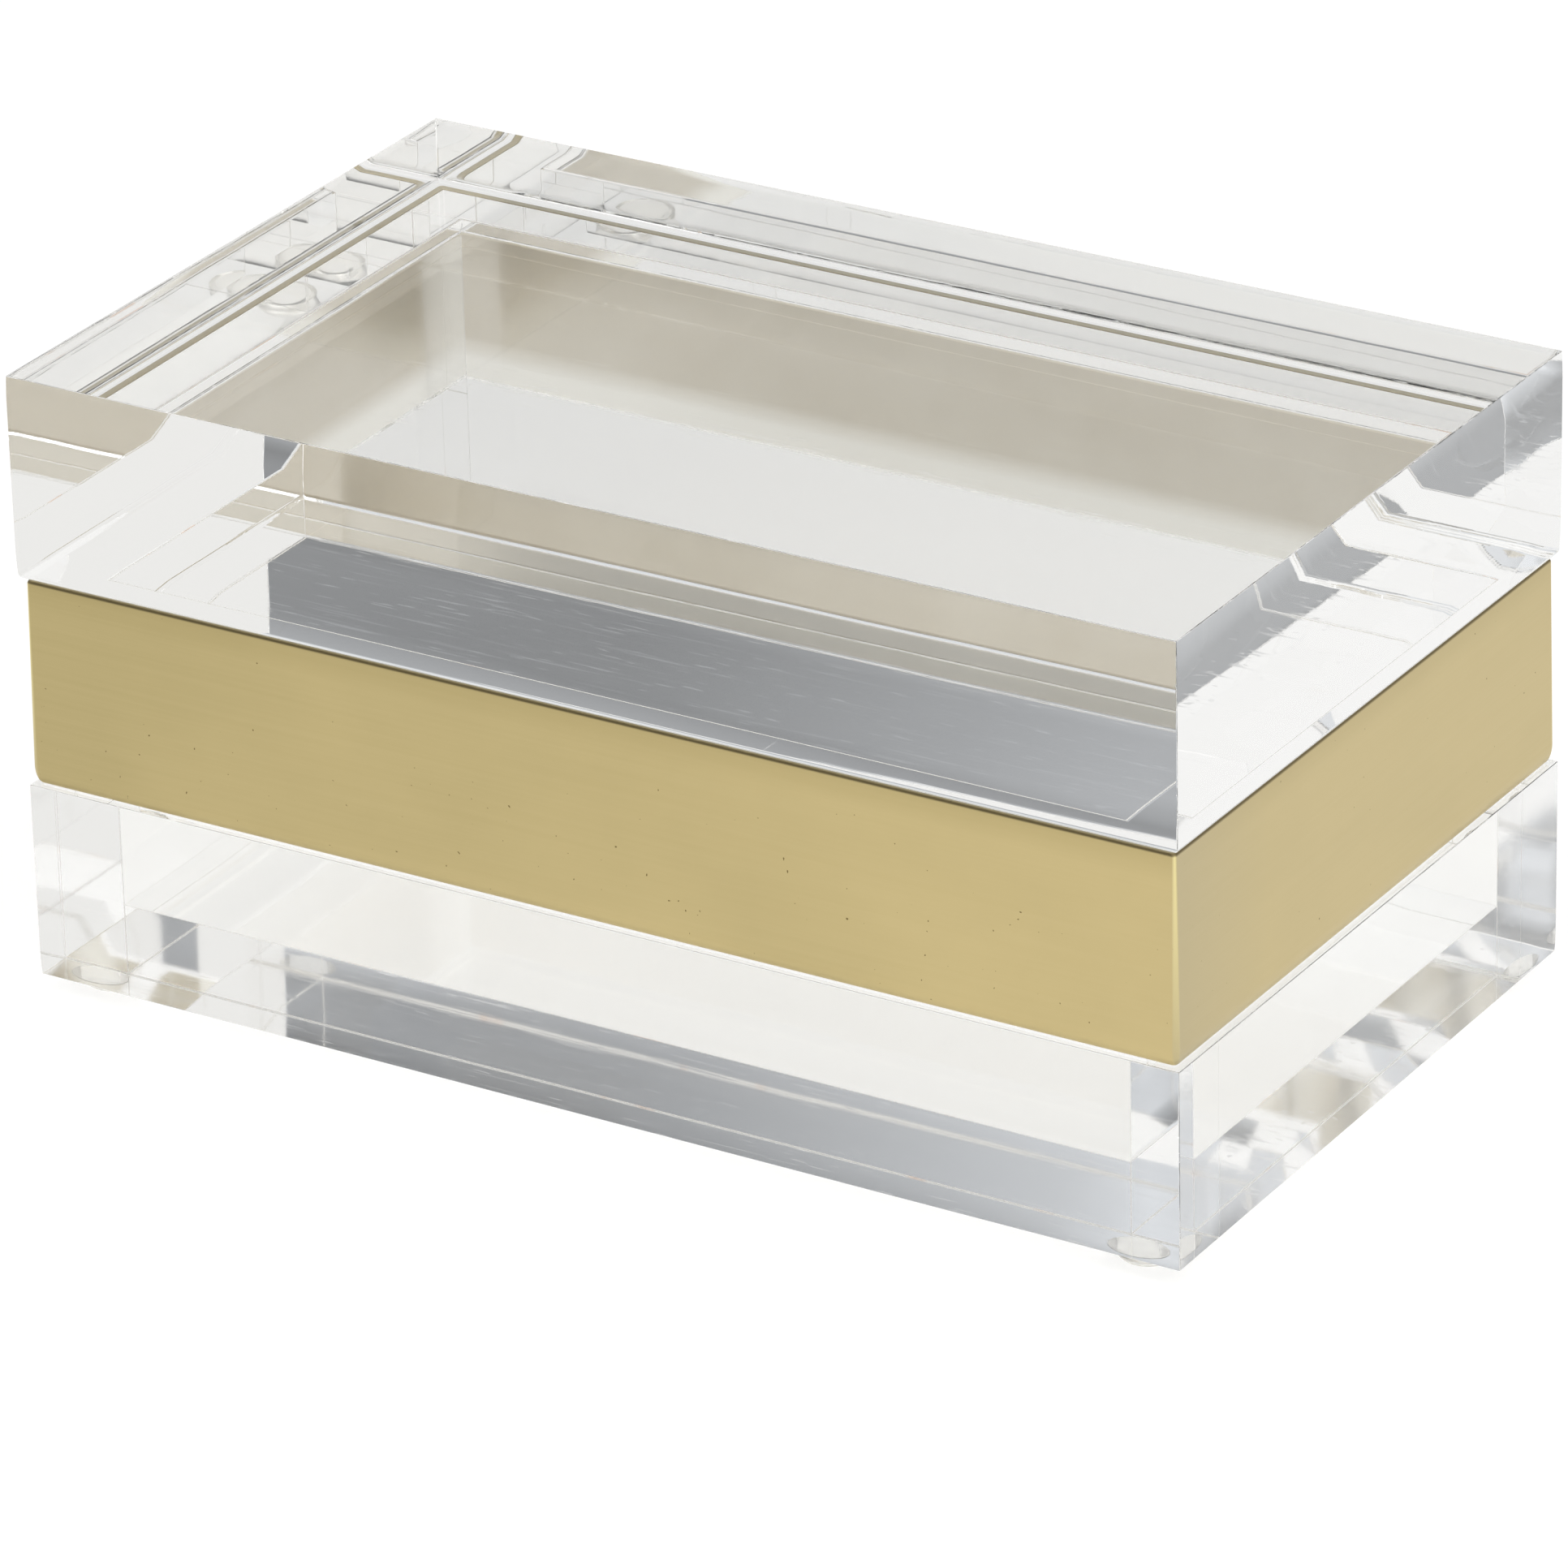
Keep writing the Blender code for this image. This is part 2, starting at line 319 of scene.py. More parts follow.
class Graph:
    """A node tree, with short ways to add its nodes."""

    def __init__(self, tree):
        self.nodes, self.links = tree.nodes, tree.links

    def put(self, value, socket):
        """Links another node's output to a socket, or sets the socket to a plain value."""
        if hasattr(value, "is_output"):
            self.links.new(value, socket)
        else:
            socket.default_value = value

    def maths(self, kind, first, second=0.0, clamp=False):
        """One sum, product or other function of two values, kept from 0 to 1 if clamped."""
        node = self.nodes.new("ShaderNodeMath")
        node.operation = kind
        node.use_clamp = clamp
        self.put(first, node.inputs[0])
        self.put(second, node.inputs[1])
        return node.outputs[0]

    def mixed(self, factor, first, second):
        """The colour first * (1 - factor) + second * factor."""
        node = self.nodes.new("ShaderNodeMix")
        node.data_type = "RGBA"
        self.put(factor, node.inputs[0])
        self.put(first, node.inputs[6])
        self.put(second, node.inputs[7])
        return node.outputs[2]


class Finish(Graph):
    """A material whose patterns follow the coordinates of its piece."""

    def __init__(self, name):
        self.material = bpy.data.materials.new(name)
        self.material.use_nodes = True
        super().__init__(self.material.node_tree)
        self.shader = self.nodes["Principled BSDF"]
        self.place = self.nodes.new("ShaderNodeTexCoord").outputs["Object"]

    def coordinates(self):
        """The x, y and z of a point of the piece, in metres."""
        node = self.nodes.new("ShaderNodeSeparateXYZ")
        self.links.new(self.place, node.inputs[0])
        return node.outputs

    def noise(self, scale, detail=2.0, roughness=0.5, turn=(0, 0, 0)):
        """Cloudy noise from 0 to 1 at the point's coordinates times the scale, then turned."""
        spread = self.nodes.new("ShaderNodeMapping")
        spread.inputs["Scale"].default_value = scale
        spread.inputs["Rotation"].default_value = turn
        self.links.new(self.place, spread.inputs["Vector"])
        node = self.nodes.new("ShaderNodeTexNoise")
        node.inputs["Scale"].default_value = 1.0
        node.inputs["Detail"].default_value = detail
        node.inputs["Roughness"].default_value = roughness
        self.links.new(spread.outputs[0], node.inputs["Vector"])
        return node.outputs[0]

    def ramp(self, value, low, high, first=0.0, last=1.0):
        """A straight way from first, where the value is low, to last, where it is high."""
        node = self.nodes.new("ShaderNodeMapRange")
        node.inputs["From Min"].default_value = low
        node.inputs["From Max"].default_value = high
        node.inputs["To Min"].default_value = first
        node.inputs["To Max"].default_value = last
        self.links.new(value, node.inputs["Value"])
        return node.outputs[0]

    def edge(self, coordinate, outline, reach, last=1.0):
        """From 0 to last between two distances short of the outline, on both sides."""
        way = self.maths("ABSOLUTE", coordinate)
        return self.ramp(way, outline - reach[0], outline - reach[1], 0.0, last)

    def bump(self, height, depth, under=None):
        """A normal tilted by the slope of height * depth, upon another bump if given."""
        node = self.nodes.new("ShaderNodeBump")
        node.inputs["Strength"].default_value = 1.0
        node.inputs["Distance"].default_value = depth
        self.links.new(height, node.inputs["Height"])
        if under is not None:
            self.links.new(under, node.inputs["Normal"])
        return node.outputs[0]

    def set(self, **values):
        """Puts values to the shader's inputs, whose names have a _ for each space."""
        for name, value in values.items():
            self.put(value, self.shader.inputs[name.replace("_", " ")])


def clear_acrylic(name):
    """Polished clear acrylic, faintly warm."""
    finish = Finish(name)
    finish.set(Base_Color=CLEAR, Transmission_Weight=1.0, IOR=ACRYLIC_INDEX)
    return finish


def sheet_acrylic():
    """The sheet's own faces: flat, with a few hairline scratches."""
    finish = clear_acrylic("acrylic_sheet_face")
    hairs = finish.noise((900, 40, 900), 3.0, 0.6, (0, 0, 0.5))
    finish.set(Roughness=finish.ramp(hairs, 0.66, 0.76, 0.0, 0.06))
    return finish.material


def buffed_acrylic():
    """Sawn and buffed side faces: slightly wavy, with fine streaks, and duller low down."""
    finish = clear_acrylic("acrylic_buffed_side")
    waves = finish.noise((45, 45, 70), 1.0)
    streaks = finish.noise((30, 30, 700), 2.0)
    normal = finish.bump(streaks, 0.0000012, finish.bump(waves, 0.00002))
    hairs = finish.noise((60, 60, 1500), 3.0, 0.6)
    haze = finish.ramp(finish.coordinates()[2], ledge, slab_low[2], 0.055, 0.0)
    rough = finish.maths("ADD", haze, finish.ramp(hairs, 0.6, 0.8, 0.0, 0.04))
    finish.set(Roughness=rough, Normal=normal)
    return finish.material


def rubbed_acrylic():
    """The undersides, rubbed on bench and table: fine short scratches along the length."""
    finish = clear_acrylic("acrylic_rubbed_underside")
    rubs = finish.noise((45, 700, 700), 1.0, 0.6, (0, 0, 0.1))
    strokes = finish.noise((160, 1000, 1000), 0.0, 0.5, (0, 0, -0.5))
    wear_and_highlight = finish.ramp(rubs, 0.52, 0.75, 0.0, 0.1)
    hazed = finish.maths("MAXIMUM", wear_and_highlight, finish.ramp(strokes, 0.7, 0.8, 0.0, 0.12))
    finish.set(Roughness=hazed)
    return finish.material


def brushed_brass():
    """Satin brass with a fine level grain, and painted light: lighter to the right, a dull tone on
    its ends, a highlight down its corners and shade round its top edge.
    """
    finish = Finish("brushed_brass")
    x, y, z = finish.coordinates()
    grain = finish.noise((25, 25, 5200), 4.0, 0.65)
    coarse = finish.noise((12, 12, 900), 3.0, 0.6)
    blotch = finish.noise((22, 22, 34), 3.0, 0.55)
    # Painted light: lighter towards the right, with a random blotchy tone on top
    bright = finish.ramp(x, -BRASS_TONE_REACH, BRASS_TONE_REACH)
    bright = finish.maths("ADD", bright, finish.ramp(blotch, 0.3, 0.7, -0.18, 0.18))
    tone = finish.mixed(bright, BRASS_LEFT_SHADED, BRASS_RIGHT_LIT)
    tone = finish.mixed(finish.ramp(coarse, 0.3, 0.7, 0.0, 0.12), tone, BRASS_STREAK)
    shade = finish.edge(z, band_high[2], BRASS_SHADE_REACH, 0.35)
    tone = finish.mixed(shade, tone, BRASS_SHADE)
    # Painted light on the ends: a dull tone for how light falls on the end faces, strongest at the
    # front
    at_end = finish.edge(x, band_high[0], BRASS_END_REACH)
    along_end = finish.ramp(y, band_low[1], band_low[1] + BRASS_END_LIGHT_LENGTH, 1.0, 0.3)
    tone = finish.mixed(finish.maths("MULTIPLY", at_end, along_end), tone, BRASS_END_PAINTED_LIGHT)
    # Painted highlight down the corners where an end meets a long side, strongest at the top
    at_side = finish.edge(y, band_high[1], BRASS_END_REACH)
    wear_and_highlight = finish.maths("MULTIPLY", at_end, at_side)
    wear_and_highlight = finish.maths("MULTIPLY", wear_and_highlight, finish.ramp(z, band_low[2], band_high[2], 0.1, 1.0))
    tone = finish.mixed(wear_and_highlight, tone, BRASS_CORNER_HIGHLIGHT)
    # Painted shade on the rounded top edge under the lid, then the flat top and the pits
    top_edge_shade = finish.edge(z, band_high[2], BRASS_TOP_EDGE_REACH, 0.85)
    tone = finish.mixed(top_edge_shade, tone, BRASS_TOP_EDGE_SHADE)
    flat_top = finish.edge(z, band_high[2], BRASS_TOP_REACH)
    tone = finish.mixed(flat_top, tone, BRASS_TOP)
    pits = finish.noise((1300, 1300, 1300), 0.0)
    tone = finish.mixed(finish.ramp(pits, 0.87, 0.89), tone, BRASS_PIT)
    finish.set(Base_Color=tone, Metallic=1.0)
    finish.set(Roughness=finish.ramp(grain, 0.3, 0.7, 0.32, 0.38))
    finish.set(Normal=finish.bump(grain, 0.0000006, finish.bump(coarse, 0.0000006)))
    return finish.material


def band_back():
    """The band's inner side: dull brass under cement, milky where it gathered at the edges."""
    finish = Finish("band_back")
    x, y, z = finish.coordinates()
    cloud = finish.noise((60, 60, 60), 3.0)
    tone = finish.mixed(finish.ramp(cloud, 0.3, 0.7), BACK_DULL, BACK_LIGHT)
    # Inside the two ends: a shaded patch towards the back, and pale back corners
    at_end = finish.edge(x, band_high[0], BACK_END_REACH)
    shade = finish.maths("MULTIPLY", at_end, finish.ramp(y, *BACK_SHADE_DEPTH))
    shade = finish.maths("MULTIPLY", shade, finish.ramp(z, *BACK_SHADE_HEIGHT, 0.0, 0.75))
    tone = finish.mixed(shade, tone, BACK_SHADE)
    # The upper part is darker on the left
    left = finish.ramp(x, *BACK_LEFT_WIDTH, 0.42, 0.0)
    left = finish.maths("MULTIPLY", left, finish.ramp(z, *BACK_LEFT_HEIGHT))
    tone = finish.mixed(left, tone, BACK_LEFT)
    corner = finish.maths("MULTIPLY", at_end, finish.ramp(y, *BACK_CORNER_DEPTH, 0.0, 0.75))
    tone = finish.mixed(corner, tone, BACK_CORNER)
    # Milky cement along the lower edge, and a little along the upper one
    full, gone = BACK_LOWER_CEMENT
    lower = finish.ramp(z, band_low[2] + full, band_low[2] + gone, 1.0, 0.0)
    upper = finish.edge(z, band_high[2], BACK_UPPER_CEMENT, 0.35)
    tone = finish.mixed(finish.maths("ADD", lower, upper), tone, BACK_CEMENT)
    rubs = finish.noise((60, 60, 1500), 3.0, 0.6)
    finish.set(Base_Color=tone, Metallic=1.0)
    finish.set(Roughness=finish.ramp(rubs, 0.3, 0.7, 0.28, 0.36))
    finish.set(Normal=finish.bump(rubs, 0.000001))
    return finish.material


def bumper_plastic():
    """Soft clear plastic, a little cloudy."""
    finish = Finish("bumper_plastic")
    cloud = finish.noise((420, 420, 420), 3.0)
    tone = finish.mixed(finish.ramp(cloud, 0.3, 0.7), BUMPER_WARM, BUMPER_CLEAR)
    finish.set(Base_Color=tone, Roughness=finish.ramp(cloud, 0.3, 0.7, 0.04, 0.15))
    finish.set(Transmission_Weight=0.92, IOR=BUMPER_INDEX)
    finish.set(Normal=finish.bump(cloud, 0.00001))
    return finish.material


def cement():
    """Dried cement at a bond's edge: pale, milky, and here and there faintly pink."""
    finish = Finish("cement_line")
    broken = finish.noise((60, 60, 60), 3.0, 0.6)
    tone = finish.mixed(finish.ramp(broken, 0.6, 0.68), CEMENT_PALE, CEMENT_PINK)
    finish.set(Base_Color=tone, Roughness=0.8)
    return finish.material


def floor_paper():
    """White paper: as a camera, glossy or transmitted ray sees it, its own white is added.

    Seen through the acrylic it is a little grayer away from the box, past the studio's lamps.
    """
    finish = Finish("floor_paper")
    nodes, links = finish.nodes, finish.links
    nodes.remove(finish.shader)
    path = nodes.new("ShaderNodeLightPath")
    through = path.outputs["Is Transmission Ray"]
    seen = finish.maths("MAXIMUM", path.outputs["Is Camera Ray"], path.outputs["Is Glossy Ray"])
    seen = finish.maths("MAXIMUM", seen, through)
    length = nodes.new("ShaderNodeVectorMath")
    length.operation = "LENGTH"
    links.new(finish.place, length.inputs[0])
    far = finish.ramp(length.outputs["Value"], *PAPER_FALL_OFF)
    white = nodes.new("ShaderNodeEmission")
    white.inputs["Color"].default_value = PAPER_GLOW
    glow = finish.maths("MULTIPLY", seen, PAPER_GLOW_LEVEL)
    glow = finish.maths("SUBTRACT", glow, finish.maths("MULTIPLY", through, far))
    links.new(glow, white.inputs["Strength"])
    paper = nodes.new("ShaderNodeBsdfDiffuse")
    fibres = finish.noise((40, 40, 40), 3.0)
    plain = finish.mixed(fibres, PAPER_DARK, PAPER_LIGHT)
    links.new(finish.mixed(seen, plain, PAPER_SEEN), paper.inputs["Color"])
    lit = nodes.new("ShaderNodeAddShader")
    links.new(white.outputs[0], lit.inputs[0])
    links.new(paper.outputs[0], lit.inputs[1])
    links.new(lit.outputs[0], nodes["Material Output"].inputs["Surface"])
    return finish.material


front_low, front_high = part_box("front_panel")
slab_low, slab_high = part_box("lid_slab")
band_low, band_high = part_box("brass_band")
ledge = band_low[2] - BAND_GAP

sheet = sheet_acrylic()
buffed = buffed_acrylic()
rubbed = rubbed_acrylic()
ACRYLIC = [sheet, buffed, rubbed]
SHEET, BUFFED, RUBBED = 0, 1, 2
brass = brushed_brass()
inner_brass = band_back()
bumper = bumper_plastic()
cement_line = cement()

# Pieces

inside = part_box("floor_panel")[1][2]
right_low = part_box("right_panel")[0]
insert_low, insert_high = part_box("lid_insert")
half_x, half_y = slab_high[0], slab_high[1]
wall = half_x - right_low[0]
base, rim = front_low[2], front_high[2]
band_inset = half_x - band_high[0]
collar = band_inset + BAND_LEAN + BAND_THICKNESS + BAND_GAP
inner = half_x - insert_high[0]


def marked(*parts):
    """Joins parts of a section, with each row's slot and whether its face is crowned."""
    section = np.concatenate([part for part, _, _ in parts])
    slots = np.concatenate([np.full(len(part), slot) for part, slot, _ in parts])
    crowned = np.concatenate([np.full(len(part), bool(crown)) for part, _, crown in parts])
    return section, slots[:-1], crowned


def case_section():
    """Insets and levels of the case, from its underside over the rim to the inside floor."""
    e, c = POLISHED_EDGE, CAVITY_EDGE
    ledge_roll = LEDGE_ROLL_SHARE * ROLL_OFF
    return marked(
        (quarter_round(e, base + e, e, e, LOWER, EDGE_STEPS) + (ROLL_OFF, 0), BUFFED, True),
        (rolled_face(base + e, ledge - e, LEDGE_ROLL_SHARE)[1:-1], BUFFED, True),
        (quarter_round(e, ledge - e, e, e, UPPER, EDGE_STEPS) + (ledge_roll, 0), SHEET, True),
        (np.array([(collar, ledge)]), SHEET, False),
        (quarter_round(collar + e, rim - e, e, e, UPPER, EDGE_STEPS), SHEET, False),
        (quarter_round(wall - c, rim - c, c, c, INWARD, EDGE_STEPS), SHEET, False),
        (np.array([(wall, inside)]), SHEET, False),
    )


def lid_section():
    """Insets and levels of the lid, from the underside of its inner block to its top."""
    e, g, r, s = POLISHED_EDGE, GLUE_FILLET, LID_LOWER_ROUNDING, INSERT_LOWER_ROUNDING
    under, bottom, top = insert_low[2], slab_low[2], slab_high[2]
    turn = np.linspace(0, math.pi / 2, FILLET_STEPS + 1)
    fillet = np.column_stack((inner - g * (1 - np.cos(turn)), bottom - g * (1 - np.sin(turn))))
    lower_round = quarter_round(r, bottom + r, r, r, LOWER, LID_ROUNDING_STEPS)
    return marked(
        (quarter_round(inner + s, under + s, s, s, LOWER, INSERT_ROUNDING_STEPS), BUFFED, False),
        (fillet, SHEET, False),
        (lower_round + (ROLL_OFF, 0), BUFFED, True),
        (rolled_face(bottom + r, top - e)[1:-1], BUFFED, True),
        (quarter_round(e, top - e, e, e, UPPER, EDGE_STEPS) + (ROLL_OFF, 0), SHEET, True),
    )


def band_section():
    """Insets and levels round the band's section, up its outer face and down its inner.

    The outer face is a quarter ellipse, the lower roll, then a straight lean inwards and
    a quarter round at the top. The inner face is upright, with small rounded edges.
    """
    low, high = band_low[2], band_high[2]
    back, e, r = collar - BAND_GAP, BAND_INNER_EDGE, BAND_TOP_ROUNDING
    turn = np.linspace(0, math.pi / 2, BAND_ROLL_STEPS + 1)
    roll_inset = band_inset + BAND_ROLL_DEPTH * (1 - np.sin(turn))
    roll = np.column_stack((roll_inset, low + BAND_ROLL_HEIGHT * (1 - np.cos(turn))))
    turn = np.linspace(0, math.pi / 2, BAND_TOP_STEPS + 1)
    top_inset = band_inset + BAND_LEAN + r * (1 - np.cos(turn))
    top = np.column_stack((top_inset, high - r * (1 - np.sin(turn))))
    turn = np.linspace(0, math.pi / 2, EDGE_STEPS + 1)
    upper = np.column_stack((back - e * (1 - np.sin(turn)), high - e * (1 - np.cos(turn))))
    lower = np.column_stack((back - e * (1 - np.cos(turn)), low + e * (1 - np.sin(turn))))
    section = np.concatenate((roll, top, upper, lower))
    slots = np.zeros(len(section), dtype=int)
    slots[len(section) - len(lower) - 1:] = 1
    radii = np.full(len(section), BAND_CORNER_RADIUS)
    radii[-len(upper) - len(lower):] = BAND_INNER_EDGE
    return section, radii, slots


def bumper_piece(name):
    """A bumper turned about its upright axis, bonded to the underside of the case.

    The profile is a small round, an upright rim, then a quarter ellipse in to the tip.
    """
    low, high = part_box(name)
    centre, radius = (low + high) / 2, (high[0] - low[0]) / 2
    rim_level = high[2] - FOOT_RIM_HEIGHT
    turn = np.linspace(0, math.pi / 2, FOOT_DOME_STEPS + 1)
    reach = radius - FOOT_TIP_RADIUS
    dome = np.column_stack((FOOT_TIP_RADIUS + reach * np.sin(turn), rim_level * (1 - np.cos(turn))))
    shoulder = base + FOOT_BOND - FOOT_EDGE
    edge = quarter_round(0, shoulder, FOOT_EDGE, FOOT_EDGE, UPPER, FOOT_EDGE_STEPS)
    edge[:, 0] = radius - FOOT_EDGE - edge[:, 0]
    profile = np.concatenate((dome, edge))
    around = np.linspace(0, 2 * math.pi, FOOT_COLUMNS, endpoint=False)
    x = centre[0] + profile[:, :1] * np.cos(around)
    y = centre[1] + profile[:, :1] * np.sin(around)
    grid = np.stack((x, y, np.broadcast_to(profile[:, 1:], x.shape)), axis=-1)
    slot_of_row = np.zeros(len(profile) - 1, dtype=int)
    piece = closed_sleeve(name + "_bumper", grid, [bumper], slot_of_row, (0, 0))
    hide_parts(name)
    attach(piece, "box")


def cement_frames(name, sheets, body):
    """Fine lines round the edges of the bonds, as thin closed strips.

    Each bond is a flat rectangle from one corner to the other, level in one direction.
    Its four strips run just inside its edges, CEMENT_WIDTH wide and CEMENT_THICKNESS thick,
    and the lowest one has a width of its own.
    """
    lows, highs = [], []
    for low, high, under in sheets:
        low, high = np.array(low), np.array(high)
        flat = int(np.argmin(high - low))
        one, other = [axis for axis in range(3) if axis != flat]
        for across, along in ((one, other), (other, one)):
            for at_low in (True, False):
                a, b = low.copy(), high.copy()
                a[flat] -= CEMENT_THICKNESS / 2
                b[flat] += CEMENT_THICKNESS / 2
                level_bond = flat == 2
                width = under if level_bond or (across == 2 and at_low) else CEMENT_WIDTH
                if at_low:
                    b[across] = a[across] + width
                else:
                    a[across] = b[across] - width
                if across == other:
                    a[along] += under if level_bond else CEMENT_WIDTH
                    b[along] -= under if level_bond else CEMENT_WIDTH
                lows.append(a)
                highs.append(b)
    lows, highs = np.array(lows), np.array(highs)
    pick = np.array([[i & 1, i >> 1 & 1, i >> 2 & 1] for i in range(8)])
    points = np.where(pick[None] == 1, highs[:, None], lows[:, None]).reshape(-1, 3)
    box = np.array((
        (0, 2, 3, 1), (4, 5, 7, 6), (0, 1, 5, 4), (2, 6, 7, 3), (0, 4, 6, 2), (1, 3, 7, 5)))
    faces = (np.arange(len(lows))[:, None, None] * 8 + box).reshape(-1, 4).tolist()
    piece = new_piece(name, points, faces, [cement_line])
    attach(piece, body)


section, slots, crowned = case_section()
grid = carried_round(section, half_x, half_y, CORNER_RADIUS, CORNER_STEPS, crowned)
case = closed_sleeve("acrylic_case", grid, ACRYLIC, slots, (RUBBED, SHEET))
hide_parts("floor_panel", "front_panel", "back_panel", "left_panel", "right_panel")
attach(case, "box")

section, slots, crowned = lid_section()
grid = carried_round(section, half_x, half_y, CORNER_RADIUS, CORNER_STEPS, crowned)
lid = closed_sleeve("acrylic_lid", grid, ACRYLIC, slots, (RUBBED, SHEET))
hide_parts("lid_slab", "lid_insert")
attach(lid, "lid")

section, radii, slots = band_section()
grid = carried_round(section, half_x, half_y, radii, BAND_CORNER_STEPS)
rows, columns, _ = grid.shape
faces = wall_faces(rows, columns, True).tolist()
slots = np.repeat(slots, columns).tolist()
band = new_piece("brass_sleeve", grid.reshape(-1, 3), faces, [brass, inner_brass], slots)
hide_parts("brass_band")
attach(band, "box")

for foot in ("foot_front_left", "foot_front_right", "foot_back_left", "foot_back_right"):
    bumper_piece(foot)

m = CEMENT_MARGIN
out_x = half_x - ROLL_OFF - UPRIGHT_ROLL_OFF - m
in_x, in_y = half_x - wall, half_y - wall
low_z = base + m
bonds = []
for side, under in ((-1, CEMENT_UNDER_WIDTH), (1, CEMENT_BACK_WIDTH)):
    for end in (-1, 1):
        near, far = sorted((end * (in_x + m), end * out_x))
        bonds.append(((near, side * in_y, low_z), (far, side * in_y, ledge - m), under))
        near, far = sorted((end * (in_x + m), end * (half_x - collar - m)))
        bonds.append(((near, side * in_y, ledge + m), (far, side * in_y, rim - m), CEMENT_WIDTH))
    bonds.append(((m - in_x, side * in_y, low_z), (in_x - m, side * in_y, inside - m), under))
    ends = ((side * in_x, m - in_y, low_z), (side * in_x, in_y - m, inside - m))
    bonds.append((*ends, CEMENT_UNDER_WIDTH))
cement_frames("case_bond_lines", bonds, "box")
block_x, block_y, level = half_x - inner - m, half_y - inner - m, slab_low[2]
block = ((-block_x, -block_y, level), (block_x, block_y, level), CEMENT_BLOCK_WIDTH)
cement_frames("lid_bond_line", [block], "lid")

# Floor, light and camera

bpy.ops.mesh.primitive_plane_add(size=PAPER_SIZE)
floor = bpy.context.object
floor.name = "floor"
floor.data.materials.append(floor_paper())


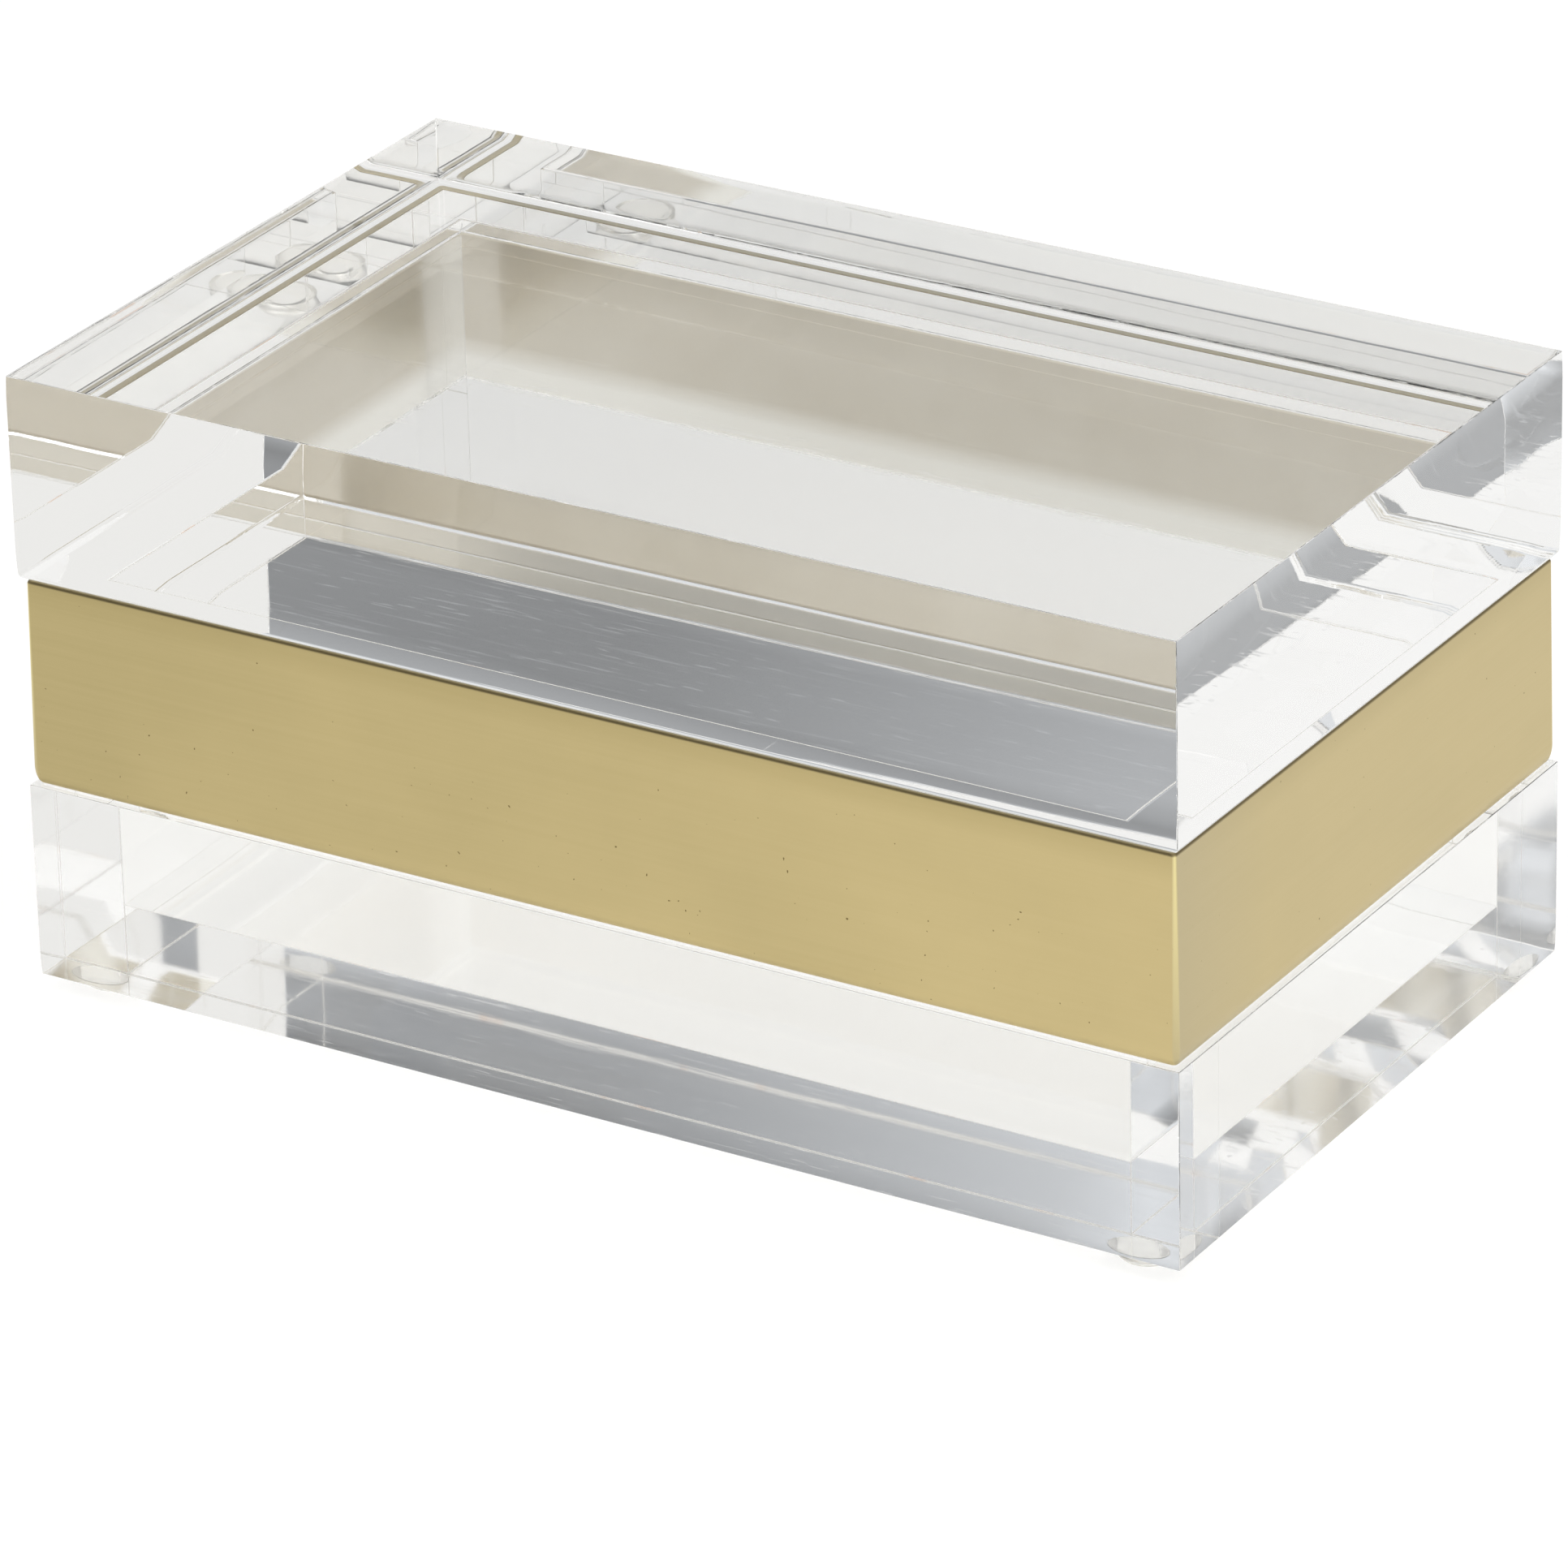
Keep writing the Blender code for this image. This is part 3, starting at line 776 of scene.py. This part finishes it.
def studio_world():
    """White all round, with the cards' grays by the turn and elevation of the ray."""
    world = bpy.data.worlds.new("studio")
    bpy.context.scene.world = world
    world.use_nodes = True
    sky = Graph(world.node_tree)
    nodes, links, maths, mixed = sky.nodes, sky.links, sky.maths, sky.mixed

    place = nodes.new("ShaderNodeTexCoord")
    split = nodes.new("ShaderNodeSeparateXYZ")
    links.new(place.outputs["Generated"], split.inputs[0])
    turn = maths("DEGREES", maths("ARCTAN2", split.outputs[0], split.outputs[1]))
    rise = maths("DEGREES", maths("ARCSINE", split.outputs[2]))

    def card(middle, half, low, high, soft):
        """1 on the card and 0 off it, with a straight ramp across each edge."""
        off = maths("ABSOLUTE", maths("SUBTRACT", turn, middle))
        off = maths("MINIMUM", off, maths("SUBTRACT", 360.0, off))
        across = maths("DIVIDE", maths("SUBTRACT", half + soft / 2, off), soft, True)
        above = maths("DIVIDE", maths("SUBTRACT", rise, low - soft / 2), soft, True)
        below = maths("DIVIDE", maths("SUBTRACT", high + soft / 2, rise), soft, True)
        return maths("MULTIPLY", maths("MULTIPLY", across, above), below)

    def tinted(gray):
        """The gray times each share of the tint, faintly blue."""
        tint = nodes.new("ShaderNodeCombineColor")
        for share, socket in zip(CARD_TINT, tint.inputs):
            links.new(maths("MULTIPLY", gray, share, True), socket)
        return tint.outputs[0]

    def gained(start_turn, start_rise, fade, gain):
        """gain * (turn - start_turn), at least 0, coming in over fade degrees of rise."""
        slope = maths("DIVIDE", maths("SUBTRACT", rise, start_rise), fade, True)
        slope = maths("MULTIPLY", slope, gain)
        return maths("MAXIMUM", maths("MULTIPLY", maths("SUBTRACT", turn, start_turn), slope), 0.0)

    # The back card is darkest in its middle and grows lighter all round it
    off = maths("ABSOLUTE", maths("SUBTRACT", rise, BACK_CARD_LEVEL))
    gray = maths("ADD", maths("MULTIPLY", off, BACK_CARD_GAIN), BACK_CARD_GRAY)
    sideways = maths("ADD", gained(*BACK_CARD_RIGHT), gained(*BACK_CARD_LEFT))
    sideways = maths("ADD", sideways, gained(*BACK_CARD_END))
    gray = maths("MULTIPLY", gray, maths("ADD", sideways, 1.0))
    gray = maths("MINIMUM", gray, BACK_CARD_LIGHTEST)
    colour = mixed(card(*BACK_CARD), ROOM_WHITE, tinted(gray))
    # The front card grows lighter upwards
    above = maths("MAXIMUM", maths("SUBTRACT", rise, FRONT_CARD_LEVEL), 0.0)
    gray = maths("ADD", maths("MULTIPLY", above, FRONT_CARD_GAIN), FRONT_CARD_GRAY)
    colour = mixed(card(*FRONT_CARD), colour, tinted(maths("MINIMUM", gray, FRONT_CARD_LIGHTEST)))
    # The camera itself sees pure white
    path = nodes.new("ShaderNodeLightPath")
    colour = mixed(path.outputs["Is Camera Ray"], colour, PURE_WHITE)
    links.new(colour, nodes["Background"].inputs["Color"])


def direction(turn, rise):
    """Outwards at a turn and a rise: sin(turn), -cos(turn), both times cos(rise), and sin(rise)."""
    level = math.cos(rise)
    return np.array((math.sin(turn) * level, -math.cos(turn) * level, math.sin(rise)))


def soft_lamp(name, size, power, turn, rise, distance):
    """A square soft box that the camera doesn't see, aimed from a turn and a rise."""
    lamp = bpy.data.lights.new(name, "AREA")
    lamp.size = size
    lamp.energy = power
    holder = bpy.data.objects.new(name, lamp)
    bpy.context.scene.collection.objects.link(holder)
    turn, rise = math.radians(turn), math.radians(rise)
    holder.location = direction(turn, rise) * distance + np.array(LAMP_TARGET)
    holder.rotation_euler = (math.pi / 2 - rise, 0, turn)
    holder.visible_camera = False


def place_camera():
    """The camera looks at its target from its azimuth and elevation, with a little roll."""
    camera = bpy.data.objects.new("camera", bpy.data.cameras.new("camera"))
    scene.collection.objects.link(camera)
    camera.data.lens = CAMERA_LENS_MM
    camera.data.clip_end = CAMERA_CLIP_END
    back = direction(CAMERA_AZIMUTH, CAMERA_ELEVATION)
    camera.location = np.array(CAMERA_TARGET) + back * CAMERA_DISTANCE
    camera.rotation_euler = (math.pi / 2 - CAMERA_ELEVATION, 0, CAMERA_AZIMUTH)
    camera.rotation_euler.rotate_axis("Z", CAMERA_ROLL)
    scene.camera = camera


studio_world()
soft_lamp("overhead_box", *OVERHEAD_LAMP)
soft_lamp("side_box", *SIDE_LAMP)

# Light has to pass many faces of clear acrylic
scene = bpy.context.scene
scene.view_settings.view_transform = "Standard"
scene.cycles.blur_glossy = 0.0
scene.cycles.max_bounces = MOST_BOUNCES
scene.cycles.transmission_bounces = MOST_BOUNCES
scene.cycles.glossy_bounces = GLOSSY_BOUNCES
scene.cycles.transparent_max_bounces = TRANSPARENT_BOUNCES

place_camera()
